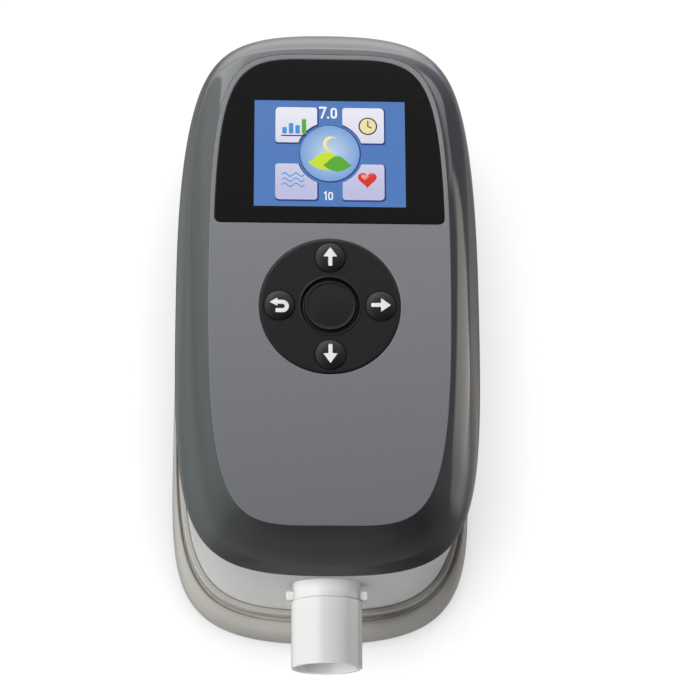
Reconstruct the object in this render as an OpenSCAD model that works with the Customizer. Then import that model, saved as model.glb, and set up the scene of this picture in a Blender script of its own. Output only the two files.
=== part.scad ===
// Portable CPAP machine with a water reservoir under it.
// Millimetres. X to the right, Y to the back, Z up. The floor is z = 0 and the
// keypad's centre lies above the origin. The hose outlet points to -Y.

/* [Cap] */
// Half the width of the cap at its rim
cap_half_w = 48.4; // [48:0.1:49]
// How far the cap's rim reaches forward of the keypad centre
cap_front = 80.7; // [80:0.1:81.5]
// How far the cap's rim reaches behind the keypad centre
cap_rear = 99.9; // [99:0.1:100.5]
// Height of the parting line between cap and white body
rim_z = 77; // [76.5:0.1:77.5]
// Height of the crease above the keypad centre
crease_z = 91.1; // [90.5:0.1:91.5]
// Rise of the crease per millimetre towards the back
crease_rise = 0.077; // [0.07:0.001:0.08]
// Wall thickness of the cap
cap_wall = 2.2; // [2:0.1:2.4]

/* [Control panel] */
// Half the width of the satin control panel
panel_half_w = 37.7; // [37.4:0.1:38]
// Height of the panel's face above the keypad centre
panel_z = 97; // [96.8:0.1:97.4]
// Tilt of the panel towards the user in degrees
panel_slope = 1.92; // [1.8:0.02:2]
// Thickness of the control panel
panel_t = 1.2; // [1:0.1:1.2]
// Front edge of the black display window
window_front = 27.2; // [26:0.1:28]
// Width of the lit screen
screen_w = 47.7; // [44:0.1:48]
// Height of the lit screen, 4:3
screen_h = 35.8; // [33:0.1:36]
// Screen centre behind the keypad centre
screen_y = 50.6; // [50:0.1:51.5]

/* [Keypad] */
// Radius of the black keypad disc
keypad_r = 21.8; // [21.5:0.1:22]
// Radius of the four outer buttons
button_r = 4.8; // [4.6:0.05:4.9]
// Distance of the outer buttons from the keypad centre
button_orbit = 15.7; // [15.6:0.05:15.8]
// Radius of the centre button's face
centre_r = 7.9; // [7.6:0.1:8]
// Travel of every button
button_travel = 0.8; // [0.5:0.1:0.8]

/* [Body and reservoir] */
// Half the width of the white body
body_half_w = 47.3; // [47:0.1:47.5]
// How far the white body reaches forward
body_front = 79.9; // [79.6:0.1:80]
// Wall thickness of the white body
body_wall = 2.4; // [2.2:0.1:2.4]
// Half the width of the smoked reservoir
base_half_w = 51; // [50.6:0.1:51.4]
// How far the reservoir reaches forward
base_front = 88.1; // [87.6:0.1:88.4]
// How far the reservoir reaches back
base_rear = 106; // [105.5:0.1:106]
// Height of the thin lip around the body
lip_z = 20; // [19.5:0.1:20.4]

/* [Hose outlet] */
// Outer radius of the 22 mm hose connector
tube_r = 11; // [10.9:0.01:11.1]
// How far the connector's mouth stands forward of the keypad centre
tube_mouth = 106; // [104:0.5:106]
// Height of the connector's axis
tube_z = 60; // [59.5:0.1:60.2]

/* [Blower] */
// Outer radius of the blower housing
blower_r = 30; // [29:0.5:31]
// Blower axis behind the keypad centre
blower_y = 32; // [31:0.5:33]
// Number of impeller blades
blades = 11; // [7:1:15]

/* [Hidden] */
$fn = 64;
steps = 24;                       // points per quarter of an outline
e = 0.01;

kp = tan(panel_slope);            // rise of the panel per millimetre of Y
// An outline is [half width, front y, y of the widest place, rear y,
// front fullness across, front fullness along, rear fullness across, along].
rim_o    = [cap_half_w, -cap_front, 14, cap_rear, .955, .895, .80, .85];
crease_o = [cap_half_w-4.3, -79.4, 14, 87.8, .914, .892, .914, .931];
panel_o  = [panel_half_w, -69, 14, 84.5, .78, 1.05, .80, 1.04];
window_o = [panel_half_w-1.6, -67.4, 14, 82.8, .84, 1.0, .80, 1.04];
body_o   = [body_half_w, -body_front, 14, 98.6, .97, .88, .80, .85];
base_o   = [base_half_w, -base_front, -23.5, base_rear, 1.007, .70, .95, .95];
boss_xy  = [[39.5, -48], [-39.5, -48], [39, 66], [-39, 66]];
cap_xy   = [[35.5, -30], [-35.5, -30], [35.5, 36], [-35.5, 36]];
board_xy = [[28.5, -40], [-28.5, -40], [28.5, 50], [-28.5, 50]];
disp_xy  = [[28, -20], [-28, -20], [23, 75], [-23, 75]];
mount_xy = [for (a = [45:90:315]) [35*cos(a), blower_y + 35*sin(a)]];
duct_x = 14;
duct_z = 50;

function bez(a, b, c, d, t) =
  pow(1-t, 3)*a + 3*pow(1-t, 2)*t*b + 3*(1-t)*t*t*c + t*t*t*d;
function front_pt(o, t) = [bez(0, o[4]*o[0], o[0], o[0], t),
  bez(o[1], o[1], o[2]-o[5]*(o[2]-o[1]), o[2], t)];
function rear_pt(o, t) = [bez(o[0], o[0], o[6]*o[0], 0, t),
  bez(o[2], o[2]+o[7]*(o[3]-o[2]), o[3], o[3], t)];
function outline(o, n = steps) = concat(
  [for (i = [0:n-1]) front_pt(o, i/n)],
  [for (i = [0:n-1]) rear_pt(o, i/n)],
  [for (i = [0:n-1]) let (p = rear_pt(o, 1-i/n)) [-p[0], p[1]]],
  [for (i = [0:n-1]) let (p = front_pt(o, 1-i/n)) [-p[0], p[1]]]);
function inset(o, d) = [o[0]-d, o[1]+d, o[2], o[3]-d, o[4], o[5], o[6], o[7]];
function mix(a, b, s) = a*(1-s) + b*s;
// Outline b grown by d, but kept inside the skirt g.
function within(b, g, d) = [min(b[0]+d, g[0]-3.7), max(b[1]-d, g[1]+3.7), b[2],
  min(b[3]+d, g[3]-3.7), b[4], b[5], b[6], b[7]];

// A level is [outline, height at y = 0, rise per millimetre of Y].
function ring(l) = [for (p = outline(l[0])) [p[0], p[1], l[1] + l[2]*p[1]]];
function skin(m, n, closed) = [for (i = [0:m-(closed ? 1 : 2)], j = [0:n-1])
  let (a = i*n+j, b = i*n+(j+1)%n, c = ((i+1)%m)*n+(j+1)%n, d = ((i+1)%m)*n+j)
  each [[a, d, c], [a, c, b]]];

// A shell swept round an outline: its levels run up the outside and down inside.
module swept_shell(levels) {
  n = 4*steps;
  m = len(levels);
  polyhedron([for (l = levels) each ring(l)], skin(m, n, true), convexity = 8);
}
// A vessel: the same, closed by a flat floor at its first and last levels.
module swept_vessel(levels) {
  n = 4*steps;
  m = len(levels);
  polyhedron([for (l = levels) each ring(l)], concat([[for (j = [0:n-1]) j]],
    skin(m, n, false), [[for (j = [n-1:-1:0]) (m-1)*n+j]]), convexity = 8);
}
module plan(o, z0, z1) {
  translate([0, 0, z0]) linear_extrude(z1-z0) polygon(outline(o));
}
module box(a, b) { translate(a) cube(b-a); }
// Places its children on the sloping panel, whose face is z = 0 there.
module on_panel() { translate([0, 0, panel_z]) rotate([panel_slope, 0, 0]) children(); }
module along_y(x, z, y0, y1, r) {
  translate([x, y0, z]) rotate([-90, 0, 0]) cylinder(h = y1-y0, r = r);
}
module pillar(p, z0, z1, r) { translate([p[0], p[1], z0]) cylinder(h = z1-z0, r = r); }

// ------------------------------------------------------------ reservoir
module reservoir() {
  b = body_o;
  g = base_o;
  l = inset(b, -1.8);
  color("dimgray", 0.5) swept_vessel([
    [inset(b, 2.2), 1.5, 0], [inset(b, 1.6), 10.8, 0], [within(b, g, 2.3), 11.6, 0],
    [within(b, g, 2.6), 14.2, 0], [inset(g, 3.2), 14.0, 0], [inset(g, 2.4), 11.6, 0],
    [inset(g, 2.2), 1.0, 0], [inset(g, 0.7), 1.0, 0], [inset(g, 0.1), 2.0, 0],
    [inset(g, 0), 4.5, 0], [inset(g, 0.15), 8.5, 0], [inset(g, 0.6), 11.8, 0],
    [mix(g, l, .23), 14.4, 0], [mix(g, l, .42), 15.9, 0], [mix(g, l, .58), 16.7, 0],
    [mix(g, l, .84), 16.6, 0], [mix(g, l, .89), 15.9, 0], [mix(g, l, .97), 16.1, 0],
    [l, lip_z-0.5, 0], [inset(b, -1.4), lip_z, 0],
    [inset(b, -0.7), lip_z, 0], [inset(b, -0.4), lip_z-0.4, 0],
    [inset(b, -0.3), 13.0, 0], [inset(b, 3.4), 13.0, 0],
    [inset(b, 4.2), 5.0, 0], [inset(b, 5.4), 3.5, 0]]);
}
module rubber_feet() {
  color("black") for (x = [-30, 30], y = [-50, 76]) pillar([x, y], 0, 1.5, 6);
}
module tank_seal() {
  color("white") difference() {
    plan(inset(body_o, 0.4), 13.05, 14.5);
    plan(inset(body_o, 3.0), 13, 15);
  }
}

// ------------------------------------------------------------ white body
module bottom_cover() {
  color("gainsboro") difference() {
    union() {
      plan(body_o, 14.5, 17);
      difference() {
        plan(inset(body_o, body_wall+0.3), 17-e, 19);
        plan(inset(body_o, body_wall+1.8), 16, 20);
        for (p = boss_xy) pillar(p, 17, 20, 4.1);
        box([-23.3, -80, 17], [23.3, -37, 20]);
      }
      for (p = mount_xy) { pillar(p, 17-e, 30, 4); pillar(p, 30-e, 42.5, 1.9); }
    }
    box([-19, -70, 14], [19, -42, 18]);
    for (p = boss_xy) { pillar(p, 14, 18, 1.7); pillar(p, 14, 16, 3.1); }
  }
}
module port_tower(s) {
  intersection() {
    plan(inset(body_o, 0.5), 31, 45);
    box([s < 0 ? -33 : 20, 80, 31], [s < 0 ? -20 : 33, 100, 45]);
  }
}
module body_shell() {
  color("whitesmoke") difference() {
    union() {
      difference() {
        plan(body_o, 17, rim_z);
        plan(inset(body_o, body_wall), 16, rim_z+1);
      }
      // tongue inside the cap
      difference() {
        plan(inset(body_o, 1.9), rim_z-3, rim_z+2.4);
        plan(inset(body_o, body_wall+1.0), rim_z-4, rim_z+3);
      }
      intersection() {
        plan(inset(body_o, 0.5), 16, rim_z);
        union() {
          for (p = boss_xy) pillar(p, 17, 34, 3.6);
          for (p = cap_xy) box([min(p[0]-3.5, p[0]*1.4), p[1]-4, 74.5], [max(p[0]+3.5, p[0]*1.4), p[1]+4, rim_z]);
          for (p = board_xy) box([min(p[0]-3, p[0]*1.7), p[1]-4, 71.6], [max(p[0]+3, p[0]*1.7), p[1]+4, 74]);
          box([-21.5, 86, 27.5], [21.5, 100, 68.5]);
        }
      }
      port_tower(-1);
      port_tower(1);
    }
    along_y(0, tube_z, -100, -70, 10.7);
    // filter bay behind its grille, and the hinge pins' holes
    box([-19.3, 88, 29.5], [19.3, 110, 66.5]);
    for (i = [0:6]) box([-17, 85, 33+i*4.6], [17, 89, 35.6+i*4.6]);
    translate([-21, 96, 31.6]) rotate([0, 90, 0]) cylinder(h = 42, r = 1.25);
    // recesses of the power inlet and the data port
    for (s = [-1, 1]) box([s < 0 ? -31 : 22, 78, 33], [s < 0 ? -22 : 31, 110, 43]);
    for (p = boss_xy) pillar(p, 16, 30, 1.3);
    for (p = cap_xy) pillar(p, 70, 90, 1.7);
    for (p = board_xy) pillar(p, 70, 75, 1.05);
  }
}

// ------------------------------------------------------------ cap
// The wall leans in by its own power of height at the sides and at the rear.
function lean(s) = [for (i = [0:7]) mix(rim_o[i], crease_o[i],
  pow(s, i == 0 ? 1.54 : i == 3 ? 2.18 : 1))];
function wall_level(s, d) = [inset(lean(s), d), mix(rim_z, crease_z, s), crease_rise*s];
function bevel_level(t, d) = [inset(mix(crease_o, panel_o, t), -1.5*t*(1-t)),
  mix(crease_z, panel_z, t) + 1.5*t*(1-t), mix(crease_rise, kp, t)];
module top_bezel() {
  w = cap_wall;
  color("dimgray") swept_shell(concat(
    [for (s = [0, .2, .4, .6, .8, .97]) wall_level(s, 0)],
    [for (t = [.04, .3, .65, 1]) bevel_level(t, 0)],
    [[inset(panel_o, .05), panel_z-2.6, kp], [inset(panel_o, 3), panel_z-2.6, kp],
     [inset(panel_o, 3), panel_z-3.8, kp], [inset(panel_o, -.2), panel_z-3.9, kp]],
    [[inset(crease_o, 1.8), crease_z-2.2, crease_rise]],
    [for (s = [.72, .5, .25, 0]) [inset(lean(s), w-.4*s),
      mix(rim_z, crease_z-2.2, s), crease_rise*s]]));
}
module panel_frame() {
  color("darkgray") difference() {
    union() {
      on_panel() {
        plan(inset(panel_o, .5), -2.55, -1.25);
        plan(inset(panel_o, 3.4), -4.0, -2.5);
        for (p = disp_xy) pillar(p, -4.6, -3.9, 2.6);
      }
      for (p = cap_xy) {
        pillar(p, rim_z+.05, 89.5, 3.2);
      }
      on_panel() for (p = cap_xy)
        box([p[0] > 0 ? 31.3 : -33.6, p[1]-2.5, -12], [p[0] > 0 ? 33.6 : -31.3, p[1]+2.5, -3]);
    }
    for (p = cap_xy) pillar(p, rim_z, 87, 1.3);
    on_panel() {
      box([-28.3, screen_y-21.8, -5], [28.3, screen_y+21.8, 0]);
      translate([0, 0, -5]) cylinder(h = 5, r = 21.2);
      for (p = disp_xy) pillar(p, -5, -2.4, 0.9);
    }
  }
}
module window_plan(g, z0, z1) {
  intersection() {
    plan(inset(window_o, -g), z0, z1);
    box([-60, window_front-g, z0-1], [60, 120, z1+1]);
  }
}
module control_panel() {
  color("slategray") on_panel() difference() {
    plan(inset(panel_o, .15), -panel_t, 0);
    window_plan(.1, -3, 3);
    translate([0, 0, -3]) cylinder(h = 6, r = keypad_r+.1);
  }
}
module display_window() {
  color("black") on_panel() window_plan(0, -panel_t, 0);
}
module lcd_module() {
  color("royalblue") on_panel() difference() {
    box([-28, screen_y-21.5, -4.55], [28, screen_y+21.5, -1.3]);
    box([-screen_w/2, screen_y-screen_h/2, -1.6], [screen_w/2, screen_y+screen_h/2, 0]);
  }
}
module display_board() {
  color("seagreen") on_panel() difference() {
    union() {
      box([-30.7, -24, -6.2], [30.7, 78, -4.65]);
      box([-10, 4, -8.2], [8, 20, -6.2]);
      box([-12, 60, -8.0], [12, 64, -6.2]);
    }
    for (p = disp_xy) pillar(p, -7, -4, 1.1);
    for (s = [-1, 1]) translate([s*36, 88, -7]) cylinder(h = 4, r = 14);
  }
}
module keypad_bezel() {
  color("black") on_panel() difference() {
    union() {
      translate([0, 0, -panel_t]) cylinder(h = panel_t+.1, r = keypad_r, $fn = 96);
      translate([0, 0, .1-e]) cylinder(h = .3, r1 = keypad_r, r2 = keypad_r-.4, $fn = 96);
    }
    translate([0, 0, -3]) cylinder(h = 6, r = 9.1);
    for (a = [0:90:270]) rotate([0, 0, a]) translate([button_orbit, 0, -3]) cylinder(h = 6, r = button_r+.05);
  }
}
// A round button seen from its own centre: a domed face that rises d to top,
// a flange that keeps it under the disc, and a stem above its switch.
module round_button(r, top, d, flange) {
  rotate_extrude() polygon(concat(
    [[0, -2.6], [2, -2.6], [2, -1.9], [flange, -1.9], [flange, -1.25], [r, -1.25]],
    [for (a = [0:10:90]) [r-.4+.4*cos(a), top-d-.4+.4*sin(a)]],
    [for (i = [1:8]) let (q = (r-.4)*(1-i/8)) [q, top-d*q*q/((r-.4)*(r-.4))]]));
}
module outer_button(a) {
  color("black") on_panel() rotate([0, 0, a]) translate([button_orbit, 0, 0])
    round_button(button_r, 1.5, .8, 5.3);
}
module right_button() { outer_button(0); }
module up_button() { outer_button(90); }
module back_button() { outer_button(180); }
module down_button() { outer_button(270); }
module start_button() {
  color("black") on_panel() {
    round_button(centre_r, .8, .35, 9.6);
    translate([0, 0, -1.3]) cylinder(h = .6, r = 9.0);
  }
}
module button_switches() {
  color("silver") on_panel() for (p = [[0, 0], [button_orbit, 0], [-button_orbit, 0], [0, button_orbit], [0, -button_orbit]]) {
    box([p[0]-3, p[1]-3, -4.65], [p[0]+3, p[1]+3, -3.75]);
    pillar(p, -3.8, -3.5, 1.5);
  }
}

// ------------------------------------------------------------ electronics
module main_board() {
  color("seagreen") difference() {
    union() {
      box([-31, -64, 74], [31, 58, 75.6]);
      box([-10, -20, 75.5], [6, -4, 77.2]);
      box([14, -10, 75.5], [24, 2, 79]);
      box([-24, 8, 75.5], [-14, 26, 80]);
      pillar([18, 20], 75.5, 84, 5);
      pillar([18, 34], 75.5, 84, 5);
      box([-12, 52, 75.5], [12, 56, 77]);
      box([-30, 38, 71.2], [-18, 44, 74.1]);
    }
    for (p = board_xy) pillar(p, 73, 77, 1.2);
  }
}
module ribbon_cable() {
  color("tan") {
    box([-10, 56.1, 76.2], [10, 62.0, 76.6]);
    box([-10, 61.6, 76.2], [10, 62.0, 90.9]);
  }
}
module speaker() {
  color("dimgray") pillar([0, -44], 75.6, 79.6, 8);
}
module pressure_sensor() {
  color("black") difference() {
    union() {
      box([-20, -18, 63], [-8, -8, 73.95]);
      along_y(-14, 66, -22, -17, 1.2);
    }
    along_y(-14, 66, -23, -14, .6);
  }
}
module sensor_tube() {
  color("lightyellow") difference() {
    along_y(-14, 66, -33, -18.2, 2.2);
    along_y(-14, 66, -34, -18, 1.22);
  }
}

// ------------------------------------------------------------ blower
module blower_body() {
  difference() {
    union() {
      pillar([0, blower_y], 40, 62, blower_r);
      along_y(duct_x, duct_z, -8, blower_y, 8);
      for (p = mount_xy) pillar(p, 40, 43, 5);
    }
    pillar([0, blower_y], 43, 60, blower_r-2);
    along_y(duct_x, duct_z, -9, blower_y, 6.5);
    for (p = mount_xy) pillar(p, 39, 44, 2.0);
    pillar([0, blower_y], 39, 44, 4.05);
    pillar([0, blower_y], 59, 63, 12);
  }
}
module blower_base() {
  color("gray") intersection() {
    blower_body();
    box([-60, -20, 30], [60, 90, duct_z]);
  }
}
module blower_cover() {
  color("lightgray") intersection() {
    blower_body();
    box([-60, -20, duct_z], [60, 90, 70]);
  }
}
module blower_motor() {
  color("silver") difference() {
    pillar([0, blower_y], 22, 40, 17);
    pillar([0, blower_y], 24, 41, 4.05);
  }
}
module shaft_bearings() {
  color("silver") for (z = [25, 36.5]) difference() {
    pillar([0, blower_y], z, z+3, 4.04);
    pillar([0, blower_y], z-1, z+4, 1.53);
  }
}
module motor_shaft() { color("silver") pillar([0, blower_y], 24.3, 56, 1.5); }
module impeller() {
  color("white") difference() {
    union() {
      pillar([0, blower_y], 45, 46.5, 23);
      pillar([0, blower_y], 46, 56.5, 4.5);
      for (i = [0:blades-1]) translate([0, blower_y, 46]) rotate([0, 0, i*360/blades])
        translate([10, 0, 0]) rotate([0, 0, -28]) translate([0, -.6, 0]) cube([13, 1.2, 8]);
    }
    pillar([0, blower_y], 44, 57, 1.51);
  }
}
module blower_mounts() {
  color("dimgray") for (p = mount_xy) difference() {
    pillar(p, 30, 40, 4.6);
    pillar(p, 29, 41, 1.92);
  }
}
module motor_cable() {
  color("tomato") {
    box([-16, -1, 31], [-8, blower_y-15.2, 31.9]);
    box([-16, -1.9, 31], [-8, -1, 73.95]);
  }
}
module inlet_muffler() {
  color("gray") box([-20, 66, 28], [20, 85.8, 66]);
}
module filter_foam() {
  color("dimgray") box([-19, 88.05, 29.9], [19, 93.4, 66.1]);
}
module filter_cover() {
  color("whitesmoke") difference() {
    union() {
      box([-18.9, 95.8, 31.6], [18.9, 97.9, 66.1]);
      translate([-18.9, 96, 31.6]) rotate([0, 90, 0]) cylinder(h = 37.8, r = 1.9);
      translate([-20.7, 96, 31.6]) rotate([0, 90, 0]) cylinder(h = 41.4, r = 1.2);
    }
    for (i = [0:5]) box([-15, 90, 37+i*4.4], [15, 100, 39.2+i*4.4]);
  }
}

// ------------------------------------------------------------ air path
module air_duct() {
  color("lightgray") difference() {
    along_y(duct_x, duct_z, -36, -1, 9.8);
    along_y(duct_x, duct_z, -37, 0, 8.02);
  }
}
module humidifier_head() {
  color("ghostwhite") difference() {
    union() {
      box([-23, -74, 17], [23, -38, 70.8]);
      along_y(duct_x, duct_z, -39, -29, 8);
      along_y(-14, 66, -39, -28, 1.2);
    }
    box([-20.5, -71.5, 16], [20.5, -40.5, 69]);
    along_y(duct_x, duct_z, -41, -28, 6.5);
    along_y(-14, 66, -41, -27, .6);
    along_y(0, tube_z, -80, -71, 9.0);
    translate([0, -75, tube_z]) rotate([-90, 0, 0]) cylinder(h = 2, r = 9.5);
  }
}
module heater_plate() {
  color("silver") difference() {
    box([-23, -71, 12.6], [23, -37, 14.45]);
    for (i = [-3:3]) box([i*5.4-1.2, -68, 12], [i*5.4+1.2, -42, 15]);
  }
}
module wick() {
  color("linen") difference() {
    box([-20, -68, 3.9], [20, -42, 12.55]);
    for (i = [-3:3]) box([i*5.4-1, -66, 5.5], [i*5.4+1, -44, 13]);
  }
}

// ------------------------------------------------------------ hose outlet
module outlet_collar() {
  color("white") difference() {
    union() {
      along_y(0, tube_z, -85.3, -74.1, 10.6);
      along_y(0, tube_z, -76.2, -74.1, 12.6);
      // the two lugs that a hose clip hooks behind
      box([-12.7, -85, tube_z-3], [12.7, -82.2, tube_z+3]);
    }
    along_y(0, tube_z, -86, -74, 8.65);
  }
}
module outlet_tube() {
  color("white") difference() {
    union() {
      along_y(0, tube_z, -tube_mouth, -85.35, tube_r);
      along_y(0, tube_z, -85.4, -74.3, 8.6);
    }
    along_y(0, tube_z, -tube_mouth-1, -88, 9.6);
    along_y(0, tube_z, -89, -74, 7.1);
    difference() {
      along_y(0, tube_z, -81, -79, 9);
      along_y(0, tube_z, -81.5, -78.5, 7.9);
    }
  }
}
module outlet_seal() {
  color("dimgray") difference() {
    along_y(0, tube_z, -80.9, -79.1, 8.61);
    along_y(0, tube_z, -81, -79, 7.92);
  }
}

// ------------------------------------------------------------ ports, screws
module dc_inlet() {
  color("black") {
    difference() {
      box([-30.9, 78.5, 33.1], [-22.1, 90.5, 42.9]);
      along_y(-26.5, 38, 81.5, 91, 3.2);
    }
    along_y(-26.5, 38, 81, 89.5, 1.0);
  }
}
module usb_port() {
  color("silver") difference() {
    box([22.1, 82, 33.1], [30.9, 90.5, 42.9]);
    box([23.2, 84, 35.6], [29.8, 91, 40.4]);
  }
}
module screw(p, z, head_r, head_h, len, r) { pillar(p, z-head_h, z, head_r); pillar(p, z-e, z+len, r); }
module case_screws() {
  color("silver") for (p = boss_xy) screw(p, 15.95, 2.8, 1.3, 12, 1.25);
}
module cap_screws() {
  color("silver") for (p = cap_xy) screw(p, 74.45, 2.6, 1.6, 11, 1.25);
}
module board_screws() {
  color("silver") {
    for (p = board_xy) { pillar(p, 75.65, 77, 2); pillar(p, 71.8, 76, 1.0); }
    on_panel() for (p = disp_xy) { pillar(p, -7.4, -6.25, 1.8); pillar(p, -6.5, -2.6, .85); }
  }
}

reservoir();
rubber_feet();
tank_seal();
bottom_cover();
body_shell();
top_bezel();
panel_frame();
control_panel();
display_window();
lcd_module();
display_board();
keypad_bezel();
start_button();
up_button();
down_button();
right_button();
back_button();
button_switches();
main_board();
ribbon_cable();
speaker();
pressure_sensor();
sensor_tube();
blower_base();
blower_cover();
blower_motor();
shaft_bearings();
motor_shaft();
impeller();
blower_mounts();
motor_cable();
inlet_muffler();
filter_foam();
filter_cover();
air_duct();
humidifier_head();
heater_plate();
wick();
outlet_collar();
outlet_tube();
outlet_seal();
dc_inlet();
usb_port();
case_screws();
cap_screws();
board_screws();
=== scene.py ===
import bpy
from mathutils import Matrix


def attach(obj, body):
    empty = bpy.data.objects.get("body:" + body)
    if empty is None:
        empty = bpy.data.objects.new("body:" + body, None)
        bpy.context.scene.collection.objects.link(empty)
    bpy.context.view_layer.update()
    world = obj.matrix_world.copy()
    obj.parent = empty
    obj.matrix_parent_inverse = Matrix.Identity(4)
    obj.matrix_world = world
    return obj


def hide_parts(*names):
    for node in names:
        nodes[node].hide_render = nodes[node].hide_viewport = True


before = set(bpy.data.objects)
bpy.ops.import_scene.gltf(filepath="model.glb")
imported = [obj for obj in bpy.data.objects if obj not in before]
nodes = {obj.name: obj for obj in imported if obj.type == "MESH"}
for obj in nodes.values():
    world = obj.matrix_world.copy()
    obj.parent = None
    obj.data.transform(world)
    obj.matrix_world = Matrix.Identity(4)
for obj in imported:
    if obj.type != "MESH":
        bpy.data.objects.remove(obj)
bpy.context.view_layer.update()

import math

import bmesh
import bpy
import numpy as np
from mathutils import Matrix, Vector

MM = 0.001
scene = bpy.context.scene

# ----------------------------------------------------------------- camera
def make_camera():
    cam = bpy.data.cameras.new("camera")
    ob = bpy.data.objects.new("camera", cam)
    scene.collection.objects.link(ob)
    az, el, roll = (math.radians(v) for v in (-8.56, 71.33, 8.62))
    back = Vector((math.sin(az) * math.cos(el), -math.cos(az) * math.cos(el), math.sin(el)))
    fwd = -back
    right = fwd.cross(Vector((0, 0, 1))).normalized()
    up = right.cross(fwd)
    r = math.cos(roll) * right + math.sin(roll) * up
    u = -math.sin(roll) * right + math.cos(roll) * up
    loc = (Vector((7.88, -1.96, 60)) + back * 666.89) * MM
    m = Matrix((
        (r.x, u.x, back.x, loc.x),
        (r.y, u.y, back.y, loc.y),
        (r.z, u.z, back.z, loc.z),
        (0, 0, 0, 1)))
    ob.matrix_world = m
    cam.sensor_width = 36
    cam.lens = 2047.8 / 700 * 36
    cam.clip_start, cam.clip_end = 0.01, 20
    scene.camera = ob


make_camera()

# ----------------------------------------------------------------- outlines
SLOPE = math.radians(1.92)
KP = math.tan(SLOPE)
PANEL_Z = 96.88
RIM_Z, CREASE_Z, CREASE_K = 77.0, 91.1, 0.077
RIM = (48.4, -80.7, 14, 99.9, .955, .895, .80, .85)
CREASE = (44.1, -79.4, 14, 87.8, .914, .892, .914, .931)
PANEL = (37.7, -69, 14, 84.5, .78, 1.05, .80, 1.04)
WINDOW = (36.1, -67.4, 14, 82.8, .84, 1.0, .80, 1.04)
BODY = (47.3, -79.9, 14, 98.6, .97, .88, .80, .85)
BASE = (51, -88.1, -23.5, 106, 1.007, .70, .95, .95)
PANEL_M = Matrix.Translation((0, 0, PANEL_Z * MM)) @ Matrix.Rotation(SLOPE, 4, "X")


def level(o, z, k=0.0, d=0.0):
    """An outline set in by d, at height z with rise k, as ten numbers that can be blended."""
    a = np.array(list(o) + [z, k], float)
    a[0] -= d
    a[1] += d
    a[3] -= d
    return a


def bez(a, b, c, d, t):
    return (1 - t) ** 3 * a + 3 * (1 - t) ** 2 * t * b + 3 * (1 - t) * t * t * c + t ** 3 * d


def ring(l, n=56):
    t = np.arange(n) / n
    a, yf, yw, yr, f1, f2, r1, r2, z, k = l
    fx = bez(0, f1 * a, a, a, t)
    fy = bez(yf, yf, yw - f2 * (yw - yf), yw, t)
    rx = bez(a, a, r1 * a, 0, t)
    ry = bez(yw, yw + r2 * (yr - yw), yr, yr, t)
    s = 1 - t
    lx = -bez(a, a, r1 * a, 0, s)
    ly = bez(yw, yw + r2 * (yr - yw), yr, yr, s)
    mx = -bez(0, f1 * a, a, a, s)
    my = bez(yf, yf, yw - f2 * (yw - yf), yw, s)
    x = np.concatenate([fx, rx, lx, mx])
    y = np.concatenate([fy, ry, ly, my])
    return np.stack([x, y, z + k * y], 1)


def seg_len(a, b):
    """Mean distance in mm between two levels."""
    return float(np.linalg.norm(ring(a, 4) - ring(b, 4), axis=1).mean())


def fillet(levels, closed=False, steps=5, hold=0.12):
    """Rounds each corner of a profile. levels holds (level, radius)."""
    n = len(levels)
    out = []
    for i, (p, r) in enumerate(levels):
        ends = not closed and i in (0, n - 1)
        if ends or r <= 0:
            out.append(p)
            continue
        a, b = levels[i - 1][0], levels[(i + 1) % n][0]
        la, lb = max(seg_len(a, p), 1e-6), max(seg_len(p, b), 1e-6)
        ta, tb = min(r / la, .48), min(r / lb, .48)
        pa, pb = p + (a - p) * ta, p + (b - p) * tb
        ha, hb = min(hold / la, .49 - ta * .9), min(hold / lb, .49 - tb * .9)
        if ha > 0 and r / la < .4:
            out.append(p + (a - p) * (ta + ha))
        for j in range(steps + 1):
            u = j / steps
            out.append((1 - u) ** 2 * pa + 2 * u * (1 - u) * p + u * u * pb)
        if hb > 0 and r / lb < .4:
            out.append(p + (b - p) * (tb + hb))
    return out


def mesh_object(name, verts, faces, mat, smooth=True):
    me = bpy.data.meshes.new(name)
    me.from_pydata([tuple(v) for v in verts], [], faces)
    me.validate()
    bm = bmesh.new()
    bm.from_mesh(me)
    bmesh.ops.remove_doubles(bm, verts=bm.verts, dist=1e-7)
    bmesh.ops.recalc_face_normals(bm, faces=bm.faces)
    bm.to_mesh(me)
    bm.free()
    if smooth:
        me.polygons.foreach_set("use_smooth", [True] * len(me.polygons))
    ob = bpy.data.objects.new(name, me)
    scene.collection.objects.link(ob)
    if mat:
        me.materials.append(mat)
    return ob


def swept(name, levels, mat, closed=True, n=56, cap_first=False, cap_last=False):
    rings = [ring(l, n) * MM for l in levels]
    m, k = len(rings), 4 * n
    verts = np.concatenate(rings)
    faces = []
    for i in range(m if closed else m - 1):
        a, b = i * k, ((i + 1) % m) * k
        for j in range(k):
            q = (j + 1) % k
            faces.append((a + j, a + q, b + q, b + j))
    verts = list(map(tuple, verts))

    def cap(i, flip):
        """Closes a ring with a few smaller rings and a centre point."""
        base = i * k
        r = rings[i]
        c = r.mean(0)
        prev = list(range(base, base + k))
        for s in (.97, .85, .6, .3):
            now = len(verts)
            for p in r:
                verts.append(tuple(c + (p - c) * s))
            cur = list(range(now, now + k))
            for j in range(k):
                q = (j + 1) % k
                f = (prev[j], prev[q], cur[q], cur[j])
                faces.append(f[::-1] if flip else f)
            prev = cur
        verts.append(tuple(c))
        ci = len(verts) - 1
        for j in range(k):
            f = (prev[j], prev[(j + 1) % k], ci)
            faces.append(f[::-1] if flip else f)

    if cap_first:
        cap(0, True)
    if cap_last:
        cap(m - 1, False)
    return mesh_object(name, verts, faces, mat)


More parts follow.
